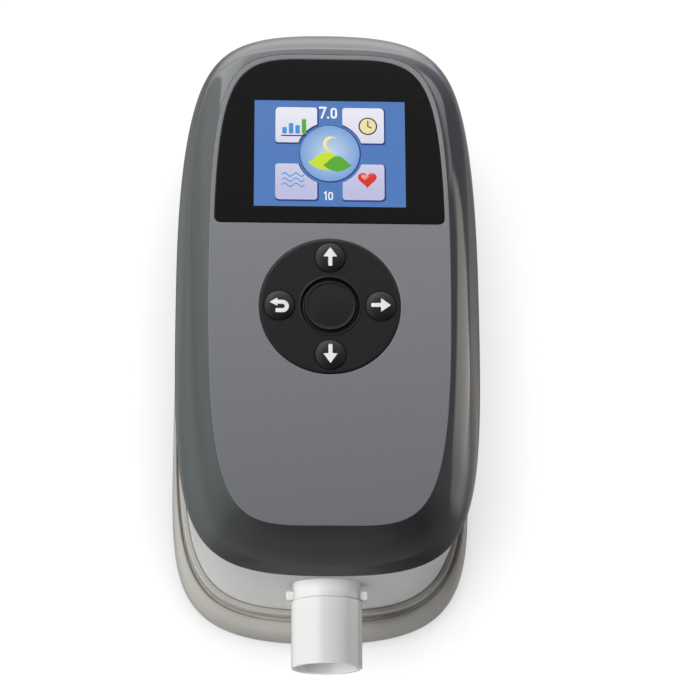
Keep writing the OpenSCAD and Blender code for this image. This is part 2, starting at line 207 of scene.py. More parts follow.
def lathe(name, profile, mat, axis_point, axis="Y", n=96, closed=True):
    """Turns (radius, along) pairs in mm round an axis through axis_point."""
    m = len(profile)
    verts, faces = [], []
    for r, h in profile:
        for j in range(n):
            a = 2 * math.pi * j / n
            u, v = r * math.cos(a), r * math.sin(a)
            p = {"Y": (u, h, v), "Z": (u, v, h), "X": (h, u, v)}[axis]
            verts.append(tuple((np.array(p) + np.array(axis_point)) * MM))
    for i in range(m if closed else m - 1):
        a, b = i * n, ((i + 1) % m) * n
        for j in range(n):
            q = (j + 1) % n
            faces.append((a + j, a + q, b + q, b + j))
    return mesh_object(name, verts, faces, mat)


def round2(points, steps=4, hold=.1, closed=True):
    """Rounds the corners of a 2-D profile of (x, y, radius)."""
    n = len(points)
    out = []
    for i, (x, y, r) in enumerate(points):
        p = np.array((x, y), float)
        if r <= 0 or (not closed and i in (0, n - 1)):
            out.append(tuple(p))
            continue
        a = np.array(points[i - 1][:2], float)
        b = np.array(points[(i + 1) % n][:2], float)
        la, lb = np.linalg.norm(a - p), np.linalg.norm(b - p)
        ta, tb = min(r / la, .48), min(r / lb, .48)
        pa, pb = p + (a - p) * ta, p + (b - p) * tb
        if (r + hold) / la < .45:
            out.append(tuple(p + (a - p) * (r + hold) / la))
        for j in range(steps + 1):
            u = j / steps
            out.append(tuple((1 - u) ** 2 * pa + 2 * u * (1 - u) * p + u * u * pb))
        if (r + hold) / lb < .45:
            out.append(tuple(p + (b - p) * (r + hold) / lb))
    return out


def plate(name, loops, z0, z1, mat, bevel=.15, matrix=None, res=3):
    """A flat plate in mm with holes, its edges rounded by bevel."""
    cu = bpy.data.curves.new(name, "CURVE")
    cu.dimensions = "2D"
    cu.fill_mode = "BOTH"
    for pts in loops:
        sp = cu.splines.new("POLY")
        sp.points.add(len(pts) - 1)
        for q, p in zip(sp.points, pts):
            q.co = (p[0] * MM, p[1] * MM, 0, 1)
        sp.use_cyclic_u = True
    h = (z1 - z0) / 2
    cu.extrude = max(h - bevel, 0) * MM
    cu.bevel_depth = bevel * MM
    cu.bevel_resolution = res
    cu.offset = -bevel * MM
    tmp = bpy.data.objects.new(name + "_c", cu)
    scene.collection.objects.link(tmp)
    dg = bpy.context.evaluated_depsgraph_get()
    me = bpy.data.meshes.new_from_object(tmp.evaluated_get(dg))
    bpy.data.objects.remove(tmp)
    bpy.data.curves.remove(cu)
    me.name = name
    m = Matrix.Translation((0, 0, (z0 + z1) / 2 * MM))
    me.transform((matrix if matrix is not None else Matrix()) @ m)
    bm = bmesh.new()
    bm.from_mesh(me)
    bmesh.ops.remove_doubles(bm, verts=bm.verts, dist=1e-7)
    bmesh.ops.dissolve_degenerate(bm, dist=1e-8, edges=bm.edges)
    bmesh.ops.recalc_face_normals(bm, faces=bm.faces)
    bm.to_mesh(me)
    bm.free()
    ob = bpy.data.objects.new(name, me)
    scene.collection.objects.link(ob)
    me.materials.clear()
    me.materials.append(mat)
    me.polygons.foreach_set("use_smooth", [True] * len(me.polygons))
    sharp_normals(ob)
    return ob


def sharp_normals(ob, angle=30):
    """Keeps flat faces flat beside small rounded edges."""
    m = ob.modifiers.new("weighted", "WEIGHTED_NORMAL")
    m.keep_sharp = True
    m.weight = 50
    return m


def circle(cx, cy, r, n=96, rev=False):
    p = [(cx + r * math.cos(2 * math.pi * i / n), cy + r * math.sin(2 * math.pi * i / n)) for i in range(n)]
    return p[::-1] if rev else p


def round_rect(x0, y0, x1, y1, r, n=6):
    out = []
    for cx, cy, a0 in ((x1 - r, y0 + r, -90), (x1 - r, y1 - r, 0), (x0 + r, y1 - r, 90), (x0 + r, y0 + r, 180)):
        for i in range(n + 1):
            a = math.radians(a0 + 90 * i / n)
            out.append((cx + r * math.cos(a), cy + r * math.sin(a)))
    return out


def soft_poly(pts, r, n=4):
    """A polygon with every corner rounded by about r."""
    return round2([(x, y, r) for x, y in pts], steps=n, hold=1e9)


def join(obs, name):
    base = obs[0]
    bm = bmesh.new()
    dg = bpy.context.evaluated_depsgraph_get()
    mats = []
    for o in obs:
        me = bpy.data.meshes.new_from_object(o.evaluated_get(dg))
        off = []
        for mt in o.data.materials:
            if mt not in mats:
                mats.append(mt)
            off.append(mats.index(mt))
        start = len(bm.faces)
        bm.from_mesh(me)
        bm.faces.ensure_lookup_table()
        for f in bm.faces[start:]:
            f.material_index = off[f.material_index] if off else 0
        bpy.data.meshes.remove(me)
    me = bpy.data.meshes.new(name)
    bm.to_mesh(me)
    bm.free()
    for mt in mats:
        me.materials.append(mt)
    for o in obs:
        bpy.data.objects.remove(o)
    ob = bpy.data.objects.new(name, me)
    scene.collection.objects.link(ob)
    return ob


def block(name, lo, hi, mat=None, bevel=0.0, matrix=None, segs=3):
    lo, hi = np.array(lo, float) * MM, np.array(hi, float) * MM
    bm = bmesh.new()
    bmesh.ops.create_cube(bm, size=1)
    for v in bm.verts:
        v.co = Vector([lo[i] + (v.co[i] + .5) * (hi[i] - lo[i]) for i in range(3)])
    if bevel:
        bmesh.ops.bevel(bm, geom=bm.edges[:], offset=bevel * MM, segments=segs, profile=.5, affect="EDGES")
    me = bpy.data.meshes.new(name)
    if matrix is not None:
        bmesh.ops.transform(bm, matrix=matrix, verts=bm.verts)
    bm.to_mesh(me)
    bm.free()
    me.polygons.foreach_set("use_smooth", [True] * len(me.polygons))
    ob = bpy.data.objects.new(name, me)
    scene.collection.objects.link(ob)
    if mat:
        me.materials.append(mat)
    sharp_normals(ob)
    return ob


def boolean(ob, tool, op):
    m = ob.modifiers.new("bool", "BOOLEAN")
    m.operation = op
    m.solver = "EXACT"
    m.object = tool
    dg = bpy.context.evaluated_depsgraph_get()
    me = bpy.data.meshes.new_from_object(ob.evaluated_get(dg))
    old = ob.data
    ob.modifiers.remove(m)
    ob.data = me
    me.name = old.name
    bpy.data.meshes.remove(old)
    bpy.data.objects.remove(tool)


def smooth_by_angle(ob, deg=32):
    """Marks edges sharper than deg and shades the rest smooth."""
    bm = bmesh.new()
    bm.from_mesh(ob.data)
    lim = math.radians(deg)
    for e in bm.edges:
        e.smooth = len(e.link_faces) == 2 and e.calc_face_angle(0) < lim
    for f in bm.faces:
        f.smooth = True
    bm.to_mesh(ob.data)
    bm.free()


# ----------------------------------------------------------------- materials
class Mat:
    """A small helper that builds one procedural material."""

    def __init__(self, name, color, rough, metallic=0.0, **kw):
        self.m = bpy.data.materials.new(name)
        self.m.use_nodes = True
        self.t = self.m.node_tree
        self.b = self.t.nodes["Principled BSDF"]
        self.b.inputs["Base Color"].default_value = (*color, 1)
        self.b.inputs["Roughness"].default_value = rough
        self.b.inputs["Metallic"].default_value = metallic
        for k, v in kw.items():
            self.b.inputs[k.replace("_", " ")].default_value = v
        self.color, self.rough = color, rough

    def node(self, kind, **kw):
        n = self.t.nodes.new(kind)
        for k, v in kw.items():
            setattr(n, k, v)
        return n

    def link(self, a, b):
        self.t.links.new(a, b)

    def coord(self, scale=(1, 1, 1)):
        c = self.node("ShaderNodeTexCoord")
        mp = self.node("ShaderNodeMapping")
        mp.inputs["Scale"].default_value = scale
        self.link(c.outputs["Object"], mp.inputs["Vector"])
        return mp.outputs["Vector"]

    def noise(self, scale, detail=3.0, vec=None, rough=.5):
        n = self.node("ShaderNodeTexNoise")
        n.inputs["Scale"].default_value = scale
        n.inputs["Detail"].default_value = detail
        n.inputs["Roughness"].default_value = rough
        self.link(vec if vec is not None else self.coord(), n.inputs["Vector"])
        return n.outputs["Fac"]

    def ramp(self, fac, stops):
        r = self.node("ShaderNodeValToRGB")
        e = r.color_ramp.elements
        while len(e) < len(stops):
            e.new(.5)
        for el, (p, c) in zip(e, stops):
            el.position = p
            el.color = (*c, 1) if len(c) == 3 else c
        self.link(fac, r.inputs["Fac"])
        return r.outputs["Color"]

    def vary(self, scale=60, amount=.06, detail=4.0, vec=None):
        """Small even variation of the base colour."""
        c = np.array(self.color)
        f = self.noise(scale, detail, vec)
        out = self.ramp(f, [(.3, tuple(c * (1 - amount))), (.7, tuple(np.minimum(c * (1 + amount), 1)))])
        self.link(out, self.b.inputs["Base Color"])
        return self

    def vary_rough(self, scale, lo, hi, vec=None):
        f = self.noise(scale, 3.0, vec)
        mr = self.node("ShaderNodeMapRange")
        mr.inputs["From Min"].default_value = .3
        mr.inputs["From Max"].default_value = .7
        mr.inputs["To Min"].default_value = lo
        mr.inputs["To Max"].default_value = hi
        self.link(f, mr.inputs["Value"])
        self.link(mr.outputs["Result"], self.b.inputs["Roughness"])
        return self

    def bump(self, scale, strength, dist=.00005, detail=2.0, vec=None, fac=None):
        b = self.node("ShaderNodeBump")
        b.inputs["Strength"].default_value = strength
        b.inputs["Distance"].default_value = dist
        self.link(fac if fac is not None else self.noise(scale, detail, vec), b.inputs["Height"])
        self.link(b.outputs["Normal"], self.b.inputs["Normal"])
        return self


charcoal = Mat("charcoal_gloss", (.0165, .0175, .018), .045, IOR=1.58)
charcoal.vary(35, .05).vary_rough(40, .036, .055)
charcoal.bump(9, .12, .0006, 1.0)
panel_grey = Mat("panel_grey", (.136, .139, .150), .43)


def panel_grain_and_painted_rear_light(m):
    """Satin paint with a fine grain; a painted highlight makes it a little lighter towards the rear, standing in for
    the light from behind.
    """
    sep = m.node("ShaderNodeSeparateXYZ")
    m.link(m.node("ShaderNodeTexCoord").outputs["Object"], sep.inputs[0])
    # painted highlight: the panel's front-to-rear position drives the lightening
    mr = m.node("ShaderNodeMapRange")
    mr.inputs["From Min"].default_value = -.069
    mr.inputs["From Max"].default_value = .084
    m.link(sep.outputs["Y"], mr.inputs["Value"])
    add = m.node("ShaderNodeMath", operation="MULTIPLY_ADD")
    m.link(m.noise(900, 5.0), add.inputs[0])
    add.inputs[1].default_value = .3
    m.link(mr.outputs["Result"], add.inputs[2])
    # painted highlight: darker grey at the front, lighter grey towards the rear
    m.link(m.ramp(add.outputs[0], [(.15, (.118, .121, .129)), (1.0, (.183, .187, .202))]), m.b.inputs["Base Color"])


panel_grain_and_painted_rear_light(panel_grey)
panel_grey.bump(5200, .32, .00002, 4.0)
window_black = Mat("window_black", (.0022, .0019, .0016), .08)
window_black.vary(300, .15).bump(2600, .10, .00002, 3.0)
key_disc = Mat("key_disc", (.0040, .0040, .0042), .42, Specular_IOR_Level=.23)
key_disc.vary(500, .12, 5.0).bump(4200, .25, .00002, 3.0)
key_soft = Mat("key_soft", (.0046, .0046, .0048), .42, Specular_IOR_Level=.26)
key_soft.vary(600, .12, 5.0).bump(5200, .35, .00002, 3.0)
ink = Mat("white_ink", (.77, .77, .775), .45)
ink.vary(900, .03)
white_satin = Mat("white_satin", (.515, .513, .51), .32)
white_satin.vary(40, .025).bump(3200, .15, .00002, 3.0)
white_gloss = Mat("white_gloss", (.665, .665, .652), .14, Specular_IOR_Level=.5)
white_gloss.vary(30, .02).vary_rough(70, .12, .16)


def smoke_material():
    m = Mat("smoke_plastic", (.43, .415, .385), .30, Transmission_Weight=.24, IOR=1.5)
    f = m.noise(25, 3.0)
    c = m.ramp(f, [(.3, (.415, .40, .368)), (.7, (.455, .44, .406))])
    m.link(c, m.b.inputs["Base Color"])
    m.bump(1500, .1, .00002, 3.0)
    return m


smoke = smoke_material()
rubber = Mat("rubber_black", (.022, .022, .022), .7)
rubber.vary(400, .2, 5.0).bump(2500, .4, .00004, 3.0)
silicone = Mat("silicone", (.62, .62, .60), .42, Subsurface_Weight=.2, Subsurface_Scale=.002)
silicone.vary(60, .04)
pcb = Mat("solder_mask", (.015, .10, .035), .35)
pcb.vary(260, .35, 6.0).bump(900, .2, .00003)
moulded = Mat("moulded_grey", (.20, .20, .205), .48)
moulded.vary(120, .05).bump(2600, .25, .00003)
foam_m = Mat("open_foam", (.035, .035, .036), .95)
foam_m.vary(1500, .6, 6.0).bump(1700, 1.0, .0004, 2.0)
felt_m = Mat("felt", (.66, .63, .54), .95, Sheen_Weight=.4)
felt_m.vary(900, .12, 6.0).bump(2400, .8, .0002, 5.0)
steel = Mat("steel", (.55, .55, .54), .30, 1.0)
steel.vary(90, .06).vary_rough(500, .24, .38, steel.coord((1, 12, 1)))
alu = Mat("aluminium", (.72, .72, .73), .36, 1.0)
alu.vary(200, .05).vary_rough(700, .3, .42, alu.coord((14, 1, 1)))
flat_cable = Mat("flat_cable", (.34, .22, .10), .4)
flat_cable.vary(1, .02)
_w = flat_cable.node("ShaderNodeTexWave")
_w.inputs["Scale"].default_value = 320
flat_cable.link(flat_cable.coord(), _w.inputs["Vector"])
flat_cable.bump(0, .4, .0001, fac=_w.outputs["Fac"])

# ----------------------------------------------------------------- cap
WALL_POW, BEVEL_BULGE = np.array([1.54, 1, 1, 2.18, 1, 1, 1, 1]), 1.5


def cap_levels():
    """The cap's outer skin from the rim over the crease to the panel."""
    rim, crease = level(RIM, RIM_Z), level(CREASE, CREASE_Z, CREASE_K)
    panel = level(PANEL, PANEL_Z, KP)
    wall = []
    for s in np.linspace(0, 1, 61):
        q = s ** WALL_POW
        o = rim[:8] * (1 - q) + crease[:8] * q
        wall.append(np.concatenate([o, rim[8:] * (1 - s) + crease[8:] * s]))
    bevel = []
    for t in np.linspace(0, 1, 61)[1:]:
        p = crease * (1 - t) + panel * t
        g = BEVEL_BULGE * t * (1 - t)
        p[0] += g
        p[1] -= g
        p[3] += g
        p[8] += g
        bevel.append(p)
    skin = np.array(wall + bevel)
    # soften the crease, and leave both ends where they are
    sig = 1.0
    k = np.exp(-.5 * (np.arange(-14, 15) / sig) ** 2)
    k /= k.sum()
    out = skin.copy()
    for i in range(len(skin)):
        w = math.exp(-((i - 60) / 9.0) ** 4)
        if w < 1e-3:
            continue
        idx = np.clip(np.arange(i - 14, i + 15), 0, len(skin) - 1)
        out[i] = skin[i] * (1 - w) + (k[:, None] * skin[idx]).sum(0) * w
    keep = sorted(set(list(range(4, 119, 6)) + [48, 51] + list(range(54, 67)) + [69, 72, 118]))
    return [out[i] for i in keep]


def make_cap():
    rim, crease = level(RIM, RIM_Z), level(CREASE, CREASE_Z, CREASE_K)
    outer = cap_levels()
    inner = []
    for s in (.72, .5, .25, .06):
        a, b = level(RIM, RIM_Z, 0, 2.2 - .4 * s), level(CREASE, CREASE_Z - 2.2, CREASE_K, 2.2 - .4 * s)
        q = s ** WALL_POW
        o = a[:8] * (1 - q) + b[:8] * q
        inner.append(np.concatenate([o, a[8:] * (1 - s) + b[8:] * s]))
    prof = [(level(RIM, RIM_Z, 0, 2.2), .3), (level(RIM, RIM_Z), .9)]
    prof += [(l, 0) for l in outer]
    prof += [(level(PANEL, PANEL_Z, KP), .04), (level(PANEL, PANEL_Z - 2.6, KP, 0), 0),
             (level(PANEL, PANEL_Z - 2.6, KP, 3), .2), (level(PANEL, PANEL_Z - 3.8, KP, 3), .2),
             (level(PANEL, PANEL_Z - 3.9, KP, -.2), 0), (level(CREASE, CREASE_Z - 2.2, CREASE_K, 1.8), 0)]
    prof += [(l, 0) for l in inner]
    ob = swept("cap_shell", fillet(prof, closed=True), charcoal.m, n=64)
    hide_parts("top_bezel")
    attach(ob, "main_unit")


make_cap()

# ----------------------------------------------------------------- panel and window
def xy(l, n=56):
    return [(p[0], p[1]) for p in ring(l, n)]


def clip_front(pts, y0, r):
    """The part of a closed outline behind y = y0, its two front corners rounded by r."""
    n = len(pts)
    keep = [p[1] > y0 for p in pts]
    start = next(i for i in range(n) if keep[i] and not keep[i - 1])
    run = []
    i = start
    while keep[i % n]:
        run.append(pts[i % n])
        i += 1

    def cut(a, b):
        f = (y0 - a[1]) / (b[1] - a[1])
        return (a[0] + f * (b[0] - a[0]), y0)

    first = cut(pts[start - 1], pts[start])
    last = cut(pts[(i - 1) % n], pts[i % n])
    run = [p for p in run if p[1] > y0 + r * 1.02]

    def corner(side, ends):
        c, a = side, ends
        out = []
        for j in range(9):
            u = j / 8
            pa = np.array(a)
            pc = np.array(c)
            pb = np.array((c[0] - math.copysign(r, c[0]), y0))
            out.append(tuple((1 - u) ** 2 * pa + 2 * u * (1 - u) * pc + u * u * pb))
        return out

    right_up = (np.interp(y0 + r, [first[1], run[0][1]], [first[0], run[0][0]]), y0 + r)
    left_up = (np.interp(y0 + r, [last[1], run[-1][1]], [last[0], run[-1][0]]), y0 + r)
    a = corner(first, right_up)[::-1]
    b = corner(last, left_up)
    return a + run + b


win = clip_front(xy(level(WINDOW, 0)), 27.2, 2.2)
win_hole = clip_front(xy(level(WINDOW, 0, 0, -.10)), 27.1, 2.3)
SCREEN_Y, SW, SH = 50.6, 47.7, 35.8
scr_hole = round_rect(-SW / 2, SCREEN_Y - SH / 2, SW / 2, SCREEN_Y + SH / 2, .25, 2)

face = plate("faceplate", [xy(level(PANEL, 0, 0, .01)), win_hole[::-1], circle(0, 0, 21.9, 128, True)],
             -1.2, .12, panel_grey.m, .28, PANEL_M)
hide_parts("control_panel")
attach(face, "main_unit")

glass = plate("display_lens", [win, scr_hole[::-1]], -1.2, .10, window_black.m, .07, PANEL_M, 2)
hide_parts("display_window")
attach(glass, "main_unit")


# ----------------------------------------------------------------- screen
def lit(name, color, strength=1.0, top=None, radial=None):
    """A lit screen colour. top fades it along the screen, radial from its centre."""
    m = Mat(name, color, .25)
    b = m.b
    b.inputs["Base Color"].default_value = (*[c * .25 for c in color], 1)
    b.inputs["Emission Strength"].default_value = strength
    b.inputs["Emission Color"].default_value = (*color, 1)
    if top or radial:
        c = m.node("ShaderNodeTexCoord")
        sep = m.node("ShaderNodeSeparateXYZ")
        m.link(c.outputs["Object"], sep.inputs[0])
        if radial:
            cx, cy, r, inner = radial
            sub = m.node("ShaderNodeVectorMath", operation="SUBTRACT")
            m.link(c.outputs["Object"], sub.inputs[0])
            sub.inputs[1].default_value = (cx * MM, cy * MM, (PANEL_Z + KP * cy) * MM)
            ln = m.node("ShaderNodeVectorMath", operation="LENGTH")
            m.link(sub.outputs[0], ln.inputs[0])
            val, lo, hi, other = ln.outputs["Value"], 0, r * MM, inner
        else:
            y0, y1, other = top
            val, lo, hi = sep.outputs["Y"], y0 * MM, y1 * MM
        mr = m.node("ShaderNodeMapRange")
        mr.inputs["From Min"].default_value = lo
        mr.inputs["From Max"].default_value = hi
        m.link(val, mr.inputs["Value"])
        out = m.ramp(mr.outputs["Result"], [(0.0, other), (1.0, color)])
        m.link(out, b.inputs["Emission Color"])
    return m


LIT = .66
blue = lit("screen_blue", (.075, .195, .51), LIT, top=(30, 70, (.085, .21, .53)))
rim_blue = lit("screen_shadow", (.02, .04, .22), LIT)
halo = lit("screen_circle", (.20, .38, .72), LIT, radial=(0, SCREEN_Y, 9.4, (.72, .86, .96)))
tile_m = lit("screen_tile", (.88, .88, .97), LIT, top=(38, 64, (.44, .44, .74)))
white_m = lit("screen_white", (.95, .96, 1.0), LIT)
ink_m = lit("screen_ink", (.03, .03, .10), LIT)
green_m = lit("screen_green", (.10, .42, .03), LIT)
lime_m = lit("screen_lime", (.62, .80, .04), LIT)
yellow_m = lit("screen_yellow", (.90, .82, .38), LIT)
red_m = lit("screen_red", (.75, .03, .02), LIT)
sky_m = lit("screen_sky", (.06, .30, .72), LIT)

SCR_Z = -.12
ui_parts = []
_layer = [0]


def ui(loops, mat, layer):
    """One flat shape of the picture, a hair above the one under it."""
    z = SCR_Z + .006 * layer
    o = plate("ui_%02d" % len(ui_parts), loops, z, z + .005, mat.m, 0, PANEL_M, 0)
    ui_parts.append(o)
    return o


def at(pts, dx, dy, s=1.0, rot=0.0):
    c, q = math.cos(math.radians(rot)), math.sin(math.radians(rot))
    return [(dx + s * (x * c - y * q), SCREEN_Y + dy + s * (x * q + y * c)) for x, y in pts]


def make_screen():
    back = plate("screen_back", [round_rect(-SW / 2 - .6, SCREEN_Y - SH / 2 - .6, SW / 2 + .6, SCREEN_Y + SH / 2 + .6, .3, 2)],
                 -1.15, SCR_Z, blue.m, 0, PANEL_M, 0)
    ui_parts.append(back)
    # four tiles on the diagonals, each with a hollow corner round the circle
    for sx, sy in ((1, 1), (-1, 1), (-1, -1), (1, -1)):
        def tile(g):
            r = 10.6 - g
            pts = []
            x0, x1, y0, y1 = 4.0 - g, 17.2 + g, 3.6 - g, 15.6 + g
            a0 = math.asin(min(.99, y0 / r))
            a1 = math.acos(min(.99, x0 / r))
            for i in range(13):
                a = a1 + (a0 - a1) * i / 12
                pts.append((r * math.cos(a), r * math.sin(a)))
            pts += [(x1, y0)] + [(x1 - .0, y1)] + [(x0, y1)]
            pts = [(sx * x, sy * y) for x, y in pts]
            arc, rest = pts[:13], pts[13:]
            # round the three outer corners
            path = [(p[0], p[1], 0) for p in arc] + [(p[0], p[1], 1.5 if j == 1 else 1.0) for j, p in enumerate(rest)]
            return round2(path, steps=5, hold=1e9)
        ui([at(tile(.28), .22, -.30)], rim_blue, 1)
        ui([at(tile(0), 0, 0)], tile_m, 2)
    ui([at(circle(0, 0, 9.75, 64), .1, -.12)], rim_blue, 3)
    ui([at(circle(0, 0, 9.4, 64), 0, 0)], halo, 4)
    # centre: a crescent moon over two hills
    moon = []
    for i in range(25):
        a = math.radians(-110 + 220 * i / 24)
        moon.append((-2.2 * math.cos(a), 2.2 * math.sin(a)))
    for i in range(25):
        a = math.radians(110 - 220 * i / 24)
        moon.append((-2.0 * math.cos(a) + .95, 1.92 * math.sin(a)))
    ui([at(moon, .4, 3.3, 1.15, -18)], yellow_m, 5)
    hill = [(-7.3, -2.6)] + [(-7.3 + 14.6 * i / 20, -2.6 + 3.6 * math.sin(math.pi * i / 20) ** 1.4) for i in range(1, 20)] + [(7.3, -2.6)]
    low = [(-7.2 + 14.4 * i / 20, -2.6 - 2.7 * math.sin(math.pi * i / 20) ** .8) for i in range(20, -1, -1)]
    ui([at([(x * .82 - .9, y) for x, y in hill] + [(x * .82 - .9, y) for x, y in low[1:-1]], 0, -.4)], lime_m, 5)
    hill2 = [(x * .62 + 2.4, (y + 2.6) * .86 - 2.6) for x, y in hill]
    low2 = [(x * .62 + 2.4, (y + 2.6) * .8 - 2.6) for x, y in low[1:-1]]
    ui([at(hill2 + low2, 0, -1.3)], green_m, 6)
    # upper left tile: bars
    for i, h in enumerate((2.2, 3.6, 2.9, 5.0)):
        ui([at(round_rect(-15.0 + i * 2.05, 6.6, -13.6 + i * 2.05, 6.6 + h, .25, 2), 0, 0)], (sky_m if i < 3 else green_m), 3)
    ui([at(round_rect(-15.4, 5.7, -6.9, 6.15, .1, 2), 0, 0)], ink_m, 3)
    # upper right tile: clock face
    ui([at(circle(0, 0, 3.0, 48), 12.1, 9.4)], ink_m, 3)
    ui([at(circle(0, 0, 2.55, 48), 12.1, 9.4)], yellow_m, 4)
    ui([at(round_rect(-.2, -.25, .2, 1.95, .15, 2), 12.1, 9.4)], ink_m, 5)
    ui([at(round_rect(-.2, -.25, .2, 1.4, .15, 2), 12.1, 9.4, 1, -118)], ink_m, 5)
    # lower left tile: air waves
    for i in range(3):
        up_, dn = [], []
        for j in range(25):
            x = -3.6 + 7.2 * j / 24
            y = .55 * math.sin(x * 1.75)
            up_.append((x, y + .24))
            dn.append((x, y - .24))
        ui([at(up_ + dn[::-1], -11.6, -7.3 - i * 1.7)], sky_m, 3)
    # lower right tile: a red heart
    heart = []
    for i in range(48):
        t = 2 * math.pi * i / 48
        heart.append((16 * math.sin(t) ** 3, 13 * math.cos(t) - 5 * math.cos(2 * t) - 2 * math.cos(3 * t) - math.cos(4 * t)))
    ui([at(heart, 11.8, -8.6, .185)], red_m, 3)
    ui([at([(x * .4 - 4, y * .35 + 4) for x, y in heart], 11.8, -8.6, .185)], lit("screen_pink", (.95, .35, .30), LIT), 4)


DIGITS = {
    "0": [[(0, .5), (.0, 2.7), (.45, 3.2), (1.35, 3.2), (1.8, 2.7), (1.8, .5), (1.35, 0), (.45, 0)]],
    "1": [[(.25, 2.55), (.95, 3.2), (.95, 0)]],
    "7": [[(0, 3.2), (1.8, 3.2), (.65, 0)]],
}


def stroke(path, w):
    """The outline of a thick line along a path, with round joints."""
    p = [np.array(q, float) for q in path]
    left, right = [], []
    n = len(p)
    for i in range(n):
        d0 = p[i] - p[i - 1] if i else p[1] - p[0]
        d1 = p[i + 1] - p[i] if i < n - 1 else p[-1] - p[-2]
        d0, d1 = d0 / np.linalg.norm(d0), d1 / np.linalg.norm(d1)
        t = d0 + d1
        t = t / max(np.linalg.norm(t), 1e-6)
        nn = np.array((-t[1], t[0]))
        k = min(1 / max(.35, float(nn @ np.array((-d0[1], d0[0])))), 2.2)
        left.append(tuple(p[i] + nn * w / 2 * k))
        right.append(tuple(p[i] - nn * w / 2 * k))
    return left, right


def digit(ch, dx, dy, s, w, mat, layer):
    if ch == ".":
        ui([at(circle(0, 0, w * .62 / s, 16), dx + .1, dy + w * .5, s)], mat, layer)
        return .75 * s
    path = DIGITS[ch][0]
    closed = ch == "0"
    if closed:
        outer = soft_poly(path, .5, 3)
        c = np.array((.9, 1.6))
        k = w / s
        inner = [((x - c[0]) * (1 - k / .9) + c[0], (y - c[1]) * (1 - k / 1.6) + c[1]) for x, y in outer]
        ui([at(outer, dx, dy, s), at(inner, dx, dy, s)[::-1]], mat, layer)
        return 2.45 * s
    l, r = stroke(path, w / s)
    ui([at(l + r[::-1], dx, dy, s)], mat, layer)
    return (1.75 if ch == "1" else 2.45) * s


def number(text, dx, dy, s, w, mat, layer=3):
    for ch in text:
        dx += digit(ch, dx, dy, s, w, mat, layer)


make_screen()
number("7.0", -3.4, 11.9, 1.15, .62, white_m)
number("10", -2.0, -15.7, .85, .42, white_m)
screen = join(ui_parts, "screen_picture")
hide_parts("lcd_module")
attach(screen, "main_unit")


# ----------------------------------------------------------------- keypad
def dome_z(q, r, top, d):
    """Height of a button's face at distance q from its centre, in mm."""
    return top - d * (q / (r - .4)) ** 2


def soft_dome(q, r=4.8, foot=.27, top=1.5):
    """Height of a rubber button at distance q from its centre, in mm."""
    return foot + (top - foot) * max(0.0, 1 - (q / r) ** 3.2) ** .62


def button_profile():
    p = [(0.001, -2.45), (2, -2.45), (2, -1.9), (5.3, -1.9), (5.3, -1.25), (4.8, -1.25), (4.8, -.4), (4.8, .1)]
    for i in range(31):
        q = 4.8 * math.cos(math.pi / 2 * i / 30)
        p.append((max(q, .001), soft_dome(q)))
    return p


def lathe_panel(name, profile, mat, cx, cy, n=96):
    ob = lathe(name, profile, mat, (0, 0, 0), "Z", n, closed=False)
    ob.data.transform(PANEL_M @ Matrix.Translation((cx * MM, cy * MM, 0)))
    return ob


def make_disc():
    hole = round2([(9.1, -1.2, .1), (9.1, .40, .16), (9.55, .40, .06), (9.75, .26, .06), (21.2, .26, .1),
                   (21.8, .12, .12), (21.8, -1.2, .1)], steps=4)
    ob = lathe_panel("keypad_disc", hole, key_disc.m, 0, 0, 160)
    # close the profile, then cut the four button holes
    me = ob.data
    bm = bmesh.new()
    bm.from_mesh(me)
    edges = [e for e in bm.edges if len(e.link_faces) == 1]
    if edges:
        bmesh.ops.bridge_loops(bm, edges=edges)
    bmesh.ops.recalc_face_normals(bm, faces=bm.faces)
    bm.to_mesh(me)
    bm.free()
    for a in range(4):
        x, y = 15.7 * math.cos(a * math.pi / 2), 15.7 * math.sin(a * math.pi / 2)
        t = lathe_panel("cut", [(.0005, -3), (4.84, -3), (4.84, .10), (5.0, .30), (5.0, 2), (.0005, 2)], None, x, y, 96)
        b = bmesh.new()
        b.from_mesh(t.data)
        bmesh.ops.remove_doubles(b, verts=b.verts, dist=2e-6)
        bmesh.ops.holes_fill(b, edges=b.edges)
        bmesh.ops.recalc_face_normals(b, faces=b.faces)
        b.to_mesh(t.data)
        b.free()
        boolean(ob, t, "DIFFERENCE")
    smooth_by_angle(ob, 40)
    sharp_normals(ob)
    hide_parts("keypad_bezel")
    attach(ob, "main_unit")


def arrow():
    """An arrow along +X, centred."""
    return soft_poly([(3.05, 0), (-.05, 2.2), (-.05, .62), (-3.05, .62), (-3.05, -.62), (-.05, -.62), (-.05, -2.2)], .32, 4)


def return_arrow():
    """An arrow that comes from below, turns and points to -X."""
    w = .64
    # arrow head, then the upper arm, the bend, the lower arm and back inside
    head = [(-.55, 2.05 + .02), (-2.95, .72), (-.55, -.62)]
    upper_in = .72 - w
    upper_out = .72 + w
    cy = -.62
    r_out = upper_out - cy
    r_in = upper_in - cy
    cx = 1.0
    ring_out = [(cx + r_out * math.sin(a), cy + r_out * math.cos(a)) for a in np.linspace(0, math.pi, 19)]
    ring_in = [(cx + r_in * math.sin(a), cy + r_in * math.cos(a)) for a in np.linspace(math.pi, 0, 15)]
    path = [(head[1][0], head[1][1], .3), (head[2][0], head[2][1], .25), (-.55, upper_in, 0)]
    path += [(x, y, 0) for x, y in ring_in[::-1]]
    path += [(-1.15, cy - r_in, .3), (-1.15, cy - r_out, .3)]
    path += [(x, y, 0) for x, y in ring_out[::-1]]
    path += [(-.55, upper_out, 0), (head[0][0], head[0][1], .25)]
    return round2(path, steps=4, hold=1e9)


